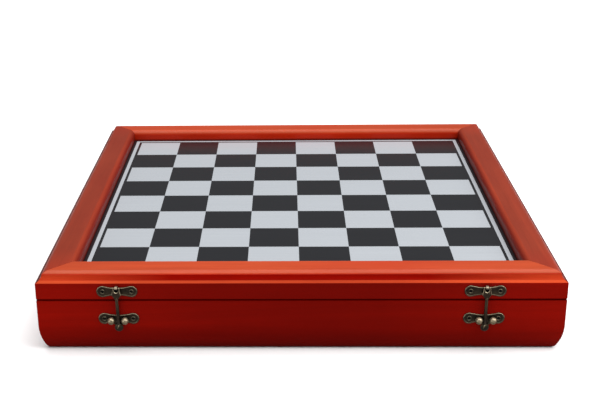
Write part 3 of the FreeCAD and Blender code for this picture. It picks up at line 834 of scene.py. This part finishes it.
def hook(side):
    """A hook: its kite-shaped head with a round-ended slot, its bar, its stem and its leaf-shaped tip."""
    hook_name = f"{side}_hook"  # of both the body and the CAD node
    pivot = joint_mm(f"{side}_hook_swing")
    tip = Vector((TIP_X[side], pivot.y, box_mm(hook_name)[0].z + TIP_R))
    half = 0.8
    soft = 0.42
    # Down the left of the head, up its right, and round the slot between
    ring = outline(
        (-1.55, 0.75), ((-2.1, 1.15), (-2.6, 0.6)), (-2.75, -1.8), (-3.35, -4.2),
        ((-3.45, -4.9), (-3.1, -5.6)), (-1.2, -8.6),
        (1.2, -8.6), (3.1, -5.6), ((3.45, -4.9), (3.35, -4.2)), (2.75, -1.8),
        (2.6, 0.6), ((2.1, 1.15), (1.55, 0.75)), (1.5, -1.5), ((0.0, -3.0), (-1.5, -1.5)),
        count=8,
    )[:-1]

    def upright(p):
        return (pivot.x + p[0], pivot.y + p[2], pivot.z + p[1])

    def highlit_edge(corners):
        """1 for the head's soft front edge but its lowest part: a painted highlight in lighter metal."""
        front = pivot.y - half + 0.01
        crosses = min(p.y for p in corners) < front < max(p.y for p in corners)
        return int(crosses and min(p.z for p in corners) > pivot.z - 6.0)

    head = Shells().stack(ring, slab(half, soft), upright).piece(f"hook_head_{side}", BRONZE["floor"])
    choose(head, (BRONZE["stem"], BRONZE["ball"]), highlit_edge)
    settle(crisp(head, 30), hook_name, "antique_bronze", hook_name)

    bar_end = Vector((2.2, 0.0, 0.0))
    arm = Shells().rod(pivot - bar_end, pivot + bar_end, 0.75, 0.75)
    arm.rod(pivot - Vector((0.0, 0.0, 7.6)), tip + Vector((0.0, 0.0, 2.2)), 1.15, 1.3)
    leaf = Shells().ball(tip, (TIP_R, 1.0, TIP_R))
    # A raised vein across the tip, in lighter ball metal as a painted highlight
    vein = Shells().rod(tip + Vector((0.5, -0.25, 3.0)), tip + Vector((-1.1, -0.35, -0.8)), 0.9, 0.6)
    for part, shells, metal in (("arm", arm, "stem"), ("leaf", leaf, "floor"), ("vein", vein, "ball")):
        settle(shells.piece(f"hook_{part}_{side}", BRONZE[metal]), hook_name, "antique_bronze")


def catch_plate(side):
    """The plate on the base, with a tongue that hangs down behind the ball studs."""
    node = f"{side}_catch_plate"
    low, high = box_mm(node)
    middle_z = high.z - LOBE_R
    start = waist_end(lobe_reach(node))
    dx = STUDS_X[side] - plate_middle(node)
    drop = low.z - middle_z
    # The right plate's studs sit further from its middle, so its edge reaches the round end sooner
    bottom = [
        ((dx - 6.2, -3.5), (dx - 4.0, -4.0)),
        ((dx, drop), (dx + 4.0, -4.0)),
        ((dx + 6.0, -3.6) if dx < 1 else (dx + 5.0, -3.9), (start[0], -start[1])),
    ]
    settle(latch_plate(f"catch_plate_{side}", node, middle_z, bottom), "base", "antique_bronze", node)


def ball_studs():
    """Four ball studs on low collars."""
    low, high = box_mm("catch_studs")
    radius = (high.z - low.z) / 2
    middle_z = (high.z + low.z) / 2
    out = -low.y - OUTER - radius
    foot = math.degrees(math.asin((PLATE - out) / radius))
    collar = 2.1
    steps = 18
    profile = [(0.0, FLOOR - BEDDED), (collar, FLOOR - BEDDED), (collar, PLATE - 0.1)]
    profile += [on_circle((0.0, out), radius, foot + (90 - foot) * k / steps) for k in range(steps)]
    profile.append((0.0, out + radius))
    shells = Shells()
    for side in ("left", "right"):
        for x in (STUDS_X[side] - STUD_X, STUDS_X[side] + STUD_X):
            shells.turned(profile, on_front(x, middle_z), 36)
    settle(shells.piece("ball_studs", BRONZE["ball"]), "base", "antique_bronze", "catch_studs")


# ---- hinges and nails

KNUCKLES = 5  # in one hinge, taken by the base's leaf and the lid's leaf in turn
KNUCKLE_GAP = 0.15  # kept free at each end of a knuckle that has a neighbour
KNUCKLE_SOFT = 0.25
# Nails of a leaf as (distance from its middle, distance from the hinge's axis)
HINGE_NAILS = ((-10.5, 7.6), (0.0, 9.2), (10.5, 7.6))
# A leaf's soft edge as (distance in from the outline, height over the wall)
LEAF_STEPS = ((0.0, 0.0), (0.0, 0.50), (0.12, 0.68), (0.35, 0.78), (0.6, 0.8))


def hinge_leaf(side, body, up):
    """A leaf with soft edges, its knuckles and the turn of metal that joins them."""
    node = f"{side}_hinge_{body}_leaf"
    low, high = box_mm(node)
    axis = joint_mm("lid_hinge")
    middle = plate_middle(node)
    half = (high.x - low.x) / 2
    far = (high.z - axis.z) if up > 0 else (axis.z - low.z)
    near = 2.6
    corner = 3.5
    ring = outline(
        (half, near),
        (half, far - corner),
        (on_circle((half - corner, far - corner), corner, 45), (half - corner, far)),
        (corner - half, far),
        (on_circle((corner - half, far - corner), corner, 135), (-half, far - corner)),
        (-half, near),
    )
    shells = Shells().stack(ring, LEAF_STEPS, on_back(middle, axis.z, up))
    length = 2 * half / KNUCKLES
    radius = high.y - axis.y
    soft = KNUCKLE_SOFT
    turn = [(OUTER, near + 0.6), (OUTER + PLATE, near + 0.6), (OUTER + PLATE + 0.3, radius + 0.1),
            (axis.y - 0.6, radius - soft), (axis.y, 1.0), (OUTER + 0.4, 0.0), (OUTER, 0.0)]
    for i in range(0 if up < 0 else 1, KNUCKLES, 2):
        start = middle - half + i * length + (KNUCKLE_GAP if i > 0 else 0.0)
        end = middle - half + (i + 1) * length - (KNUCKLE_GAP if i < KNUCKLES - 1 else 0.0)
        shells.rings([[(x, y, axis.z + up * v) for y, v in turn] for x in (start, end)])
        wide = end - start
        knuckle = [(0, 0), (radius - soft, 0), (radius, soft), (radius, wide - soft), (radius - soft, wide),
                   (0, wide)]
        shells.turned(knuckle, lambda p, start=start: (start + p[2], axis.y + p[0], axis.z + p[1]), 32)
    settle(crisp(shells.piece(f"hinge_{body}_{side}", BRONZE["leaf"]), 40), body, "antique_bronze", node)


def hinge_pins():
    """The domed ends of the two pins, which are all that shows of them."""
    axis = joint_mm("lid_hinge")
    dome = [(0.0, 0.15), (1.9, 0.15), (1.8, 0.5), (1.4, 0.8), (0.8, 0.95), (0.0, 1.0)]
    shells = Shells()
    for side in ("left", "right"):
        low, high = box_mm(f"{side}_hinge_base_leaf")
        for x, sign in ((low.x, -1), (high.x, 1)):
            shells.turned(dome, lambda p, x=x, g=sign: (x + g * p[2], axis.y + p[0], axis.z + p[1]), 28)
    settle(shells.piece("hinge_pin_caps", BRONZE["rim"]), "base", "antique_bronze", "hinge_pins")


def nail_heads(node, body, plates, plate_z, up):
    """Small dark heads sunk in the latch plates' rings, and domed bronze heads on the hinge leaves."""
    sunk = [(0.0, 0.30), (1.12, 0.30), (1.06, 0.60), (0.7, 0.76), (0.0, 0.82)]
    dome = [(0.0, PLATE - 0.3), (1.25, PLATE - 0.3), (1.25, PLATE + 0.1), (1.05, PLATE + 0.32),
            (0.6, PLATE + 0.46), (0.0, PLATE + 0.5)]
    shells = Shells()
    for plate in plates:
        middle = plate_middle(plate)
        for x in (middle - lobe_reach(plate), middle + lobe_reach(plate)):
            shells.turned(sunk, on_front(x, plate_z), 24)
    settle(shells.piece(f"{node}_sunk", IRON_AND_SHADE), body, "antique_bronze", node)
    shells = Shells()
    axis = joint_mm("lid_hinge")
    for side in ("left", "right"):
        middle = plate_middle(f"{side}_hinge_base_leaf")
        for u, v in HINGE_NAILS:
            shells.turned(dome, on_back(middle + u, axis.z + up * v), 24)
    settle(shells.piece(f"{node}_domed", BRONZE["rim"]), body, "antique_bronze")


def hardware():
    """Latches, hinges and their nails."""
    for side in ("left", "right"):
        hook_plate(side)
        hook(side)
        catch_plate(side)
        hinge_leaf(side, "lid", 1)
        hinge_leaf(side, "base", -1)
    ball_studs()
    hinge_pins()
    hook_z = box_mm("left_hook_plate")[0].z + LOBE_R
    catch_z = box_mm("left_catch_plate")[1].z - LOBE_R
    nail_heads("lid_nails", "lid", ("left_hook_plate", "right_hook_plate"), hook_z, 1)
    nail_heads("base_nails", "base", ("left_catch_plate", "right_catch_plate"), catch_z, -1)


# ---- chess pieces

# Radii of neck and collar, and where the collar starts
NECKS = {
    "king": (5.6, 9.2, 50.0), "queen": (5.4, 8.8, 46.0), "bishop": (4.6, 7.8, 36.0),
    "knight": (9.0, 10.6, 13.0), "rook": (7.0, 9.4, 32.0), "pawn": (4.0, 7.2, 26.0),
}
COLLAR = 2.2  # height of the collar
FOOT_TOP = 7.4


def lower_part(kind, foot):
    """The moulded foot, the tapered stem and the collar that every piece has."""
    neck, collar, at = NECKS[kind]
    waist = (neck + (foot - 4.0 - neck) * 0.28, FOOT_TOP + (at - FOOT_TOP) * 0.36)
    return outline(
        (0.0, 0.4), (foot - 2.6, 0.4), (foot - 2.2, 0.0), (foot - 0.7, 0.0),
        ((foot, 1.7), (foot - 0.6, 3.4)), (foot - 1.0, 3.6), (foot - 2.0, 4.0),
        ((foot - 1.3, 5.4), (foot - 2.6, 6.8)), (foot - 3.1, 7.0), (foot - 4.0, FOOT_TOP),
        (waist, (neck, at - 0.5)), (collar - 1.4, at - 0.1), (collar - 0.6, at),
        ((collar, at + COLLAR / 2), (collar - 0.6, at + COLLAR)),
        (neck + 1.2, at + COLLAR + 0.1), (neck + 0.8, at + COLLAR + 0.4),
    )


# In the upper parts, start is the height of the lower part's last point
def king(shells, place, lower, start, top):
    dome = start + 18.4
    upper = outline(
        (6.3, start + 0.1), ((6.3, start + 8.0), (8.6, start + 13.6)), (8.6, start + 14.9),
        (7.9, start + 15.3), ((5.4, start + 17.4), (1.8, dome)), (1.8, dome + 0.5),
        (0.0, dome + 0.6),
    )
    shells.turned(lower + upper, place)
    right = [(1.0, dome), (0.9, top - 5.4), (3.0, top - 5.8),
             (3.0, top - 2.8), (0.9, top - 3.2), (1.3, top)]
    cross = [(-1.0, dome)] + right + [(-u, z) for u, z in right[:0:-1]]
    shells.stack(cross, slab(1.2, 0.3), lambda p: place((p[0], p[2], p[1])))


def queen(shells, place, lower, start, top):
    rim = start + 14.0
    upper = outline(
        (6.1, start + 0.1), ((5.9, start + 8.0), (8.3, rim)),
        ((8.1, rim + 0.7), (7.4, rim + 0.4)), (6.3, rim - 1.6),
        ((4.4, rim + 2.6), (1.2, rim + 4.4)), (1.0, rim + 5.0), (0.0, rim + 5.1),
    )

    def scallop(r, z, angle):
        """Nine waves round the crown's rim."""
        return 0.8 * math.cos(math.radians(9 * angle)) if abs(z - rim) < 0.9 and r > 7 else 0.0

    shells.turned(lower + upper, place, 72, scallop)
    shells.ball((0, 0, top - 2.3), (2.3, 2.3, 2.3), place)


def bishop(shells, place, lower, start, top):
    tip = top - 3.4
    upper = outline((4.6, start + 0.2), ((6.9, start + 7.0), (1.4, tip)), (0.0, tip + 0.1), count=26)
    shells.turned(lower + upper, place)
    shells.ball((0, 0, top - 2.0), (2.0, 2.0, 2.0), place)


def rook(shells, place, lower, start, top):
    outer = 9.8
    inner = 7.0
    upper = outline(
        (7.4, start + 0.2), ((7.7, start + 3.0), (9.6, start + 5.2)), (outer, start + 5.6),
        (outer, top - 2.8), (9.5, top - 2.6), (7.2, top - 2.6), (inner, top - 2.9),
        (inner, top - 3.4), (0.0, top - 3.4),
    )
    shells.turned(lower + upper, place)
    for i in range(6):
        span = [60 * i + 7.6 + 44.8 * k / 8 for k in range(9)]
        block = [on_circle((0, 0), outer, a) for a in span]
        block += [on_circle((0, 0), inner, a) for a in reversed(span)]
        shells.stack(block, ((0.0, top - 3.0), (0.0, top - 0.3), (0.3, top)), place)


def knight_head(place):
    """A carved horse's head, its nose towards +u: soft bulges on a sawn core, merged into one skin."""
    core = outline(
        (8.6, 15.0), ((3.8, 24.0), (4.8, 31.0)), (7.2, 32.4), (11.0, 31.2),
        ((12.6, 33.6), (11.6, 36.6)), ((8.2, 43.0), (4.8, 47.6)), (3.6, 51.0), (-0.4, 50.0),
        ((-8.0, 44.0), (-9.6, 31.0)), ((-9.0, 22.0), (-8.6, 15.0)),
    )
    head = Shells().stack(core, ((0.4, -3.6), (0.4, 3.6)), lambda p: place((p[0], p[2], p[1])))
    # Each bulge's centre and radii: chest, neck, crest, cheek and muzzle
    bulges = [
        ((-0.4, 0, 18.5), (8.6, 7.0, 6.5)), ((-2.6, 0, 26.0), (7.0, 6.2, 9.0)),
        ((-3.6, 0, 34.5), (5.8, 5.6, 9.0)), ((0.6, 0, 40.0), (5.6, 5.9, 5.4)),
        ((4.4, 0, 37.6), (5.2, 5.0, 4.8)), ((8.8, 0, 34.4), (3.8, 4.0, 3.3)),
    ]
    # Nostril, eye, brow and ear, on both sides
    for (x, y, z), radii in (((10.2, 2.4, 34.6), (1.5, 1.5, 1.3)), ((4.4, 4.6, 42.2), (1.6, 1.1, 1.2)),
                             ((2.6, 4.3, 43.8), (2.4, 1.1, 0.8)), ((1.6, 2.7, 50.2), (1.5, 1.4, 5.2))):
        bulges += [((x, y, z), radii), ((x, -y, z), radii)]
    # Tufts of the mane, on an arc down the back of the neck
    for i in range(12):
        angle = math.radians(52 + 9.6 * i)
        centre = (1.6 + 12.4 * math.cos(angle), 0, 33.0 + 17.2 * math.sin(angle))
        bulges.append((centre, (1.9, 2.9 - 0.06 * i, 1.5)))
    for centre, radii in bulges:
        head.ball(centre, radii, place, 20)
    return head


UPPER_PARTS = {"king": king, "queen": queen, "bishop": bishop, "rook": rook}


def chess_piece(node):
    """A piece lying as its CAD node does, foot outwards, inside that node's box."""
    army, kind = node.split("_")[:2]
    low, high = box_mm(node)
    foot = (high.z - low.z) / 2
    centre = (low + high) / 2
    tall = high.y - low.y
    sign = 1 if centre.y < 0 else -1
    outward = low.y if sign > 0 else high.y

    def place(p):
        return (centre.x + p[0], outward + sign * p[2], centre.z - sign * p[1])

    material = LIGHT_WOOD if army == "light" else DARK_WOOD
    shells = Shells()
    lower = lower_part(kind, foot)
    start = lower[-1][1]
    if kind == "pawn":
        ball = 6.9
        shells.turned(lower + [(4.2, tall - 2 * ball + 0.9), (0.0, tall - 2 * ball + 1.6)], place)
        shells.ball((0, 0, tall - ball), (ball, ball, ball), place, 36)
    elif kind == "knight":
        shells.turned(lower + [(0.0, start + 0.1)], place)
    else:
        UPPER_PARTS[kind](shells, place, lower, start, tall)
    slot = f"{army}_piece_wood"
    piece = crisp(shells.piece(f"carved_{node}", material), 48)
    settle(piece, "base", slot, node)
    if kind == "knight":
        head = remesh(knight_head(place).piece(f"head_{node}", material), 0.5)
        settle(head, "base", slot)


# ---- cloth and boards kept from CAD

def finish_cad_nodes():
    """Cloth grown over the trays and lining, and soft edges on the flat boards."""
    for name, material, change, size in (
            ("front_tray", GREEN_NAP, remesh, 1.1), ("back_tray", GREEN_NAP, remesh, 1.1),
            ("lid_lining", GREEN_NAP, soften, 0.35), ("board_core", CORE_BOARD, soften, 0.35),
            ("base_panel", PANEL_BOARD, soften, 0.35)):
        node = frame["nodes"][name]
        node.data.materials.clear()
        node.data.materials.append(material)
        change(node, size)


# ---- studio

FLOOR_HALF = 7000.0  # half the floor's width, in millimetres
WORLD_LIGHT = 0.15
# Square lamps: place, target and size in metres, and watts
LAMPS = {
    "overhead": ((0.4, 0.2, 3.2), (0.0, 0.2, 0.0), 5.0, 250.0),
    "right_fill": ((1.0, -0.5, 0.7), (0.1, -0.1, 0.05), 0.7, 7.0),
    "left_fill": ((-0.8, -0.8, 0.25), (-0.15, -0.15, 0.03), 0.5, 2.0),
}
EYE = (-0.00941, -0.93766, 0.3962)  # the camera's place in metres
YAW = 1.703  # degrees to the left of straight ahead
PITCH = 20.623  # degrees downwards
TILT = -0.815  # degrees round the line of sight
LENS = 66.3
SHIFT_X = 0.0731


def floor_material():
    nodes = Nodes("pale_floor")
    colour = nodes.grain(nodes.noise(1.5, 2.0), (0.90, 0.90, 0.90), (0.91, 0.91, 0.91))
    return nodes.finish(colour, 0.9, Specular_IOR_Level=0.1)


def area_light(name, place, target, size, watts):
    light = bpy.data.lights.new(name, "AREA")
    light.shape = "SQUARE"
    light.size = size
    light.energy = watts
    lamp = bpy.data.objects.new(name, light)
    bpy.context.scene.collection.objects.link(lamp)
    lamp.location = place
    lamp.rotation_euler = (Vector(target) - Vector(place)).to_track_quat("-Z", "Y").to_euler()


def studio():
    """A pale floor under lamps and a dim white world."""
    half = FLOOR_HALF
    corners = [(-half, -half, 0), (half, -half, 0), (half, half, 0), (-half, half, 0)]
    Shells().add(corners, [(0, 1, 2, 3)]).piece("floor", floor_material())
    world = bpy.data.worlds.new("studio")
    world.use_nodes = True
    background = world.node_tree.nodes["Background"]
    background.inputs["Color"].default_value = (1.0, 1.0, 1.0, 1.0)
    background.inputs["Strength"].default_value = WORLD_LIGHT
    bpy.context.scene.world = world
    for name, setting in LAMPS.items():
        area_light(name, *setting)
    bpy.context.scene.view_settings.view_transform = "Standard"


def camera():
    """A long lens in front of the case, looking down at it."""
    yaw = math.radians(YAW)
    pitch = math.radians(PITCH)
    tilt = math.radians(TILT)
    forward = Vector((-math.sin(yaw) * math.cos(pitch), math.cos(yaw) * math.cos(pitch), -math.sin(pitch)))
    level = Vector((math.cos(yaw), math.sin(yaw), 0.0))
    upright = level.cross(forward)
    right = math.cos(tilt) * level + math.sin(tilt) * upright
    up = -math.sin(tilt) * level + math.cos(tilt) * upright
    lens = bpy.data.cameras.new("camera")
    lens.sensor_width = 36.0
    lens.lens = LENS
    lens.shift_x = SHIFT_X
    lens.clip_start = 0.05
    lens.clip_end = 50.0
    eye = bpy.data.objects.new("camera", lens)
    bpy.context.scene.collection.objects.link(eye)
    turn = Matrix((right, up, -forward)).transposed().to_4x4()
    eye.matrix_world = Matrix.Translation(EYE) @ turn
    bpy.context.scene.camera = eye


camera()
studio()
case_sides()
playing_board()
hardware()
for name in sorted(frame["nodes"]):
    if name.startswith(("light_", "dark_")):
        chess_piece(name)
finish_cad_nodes()
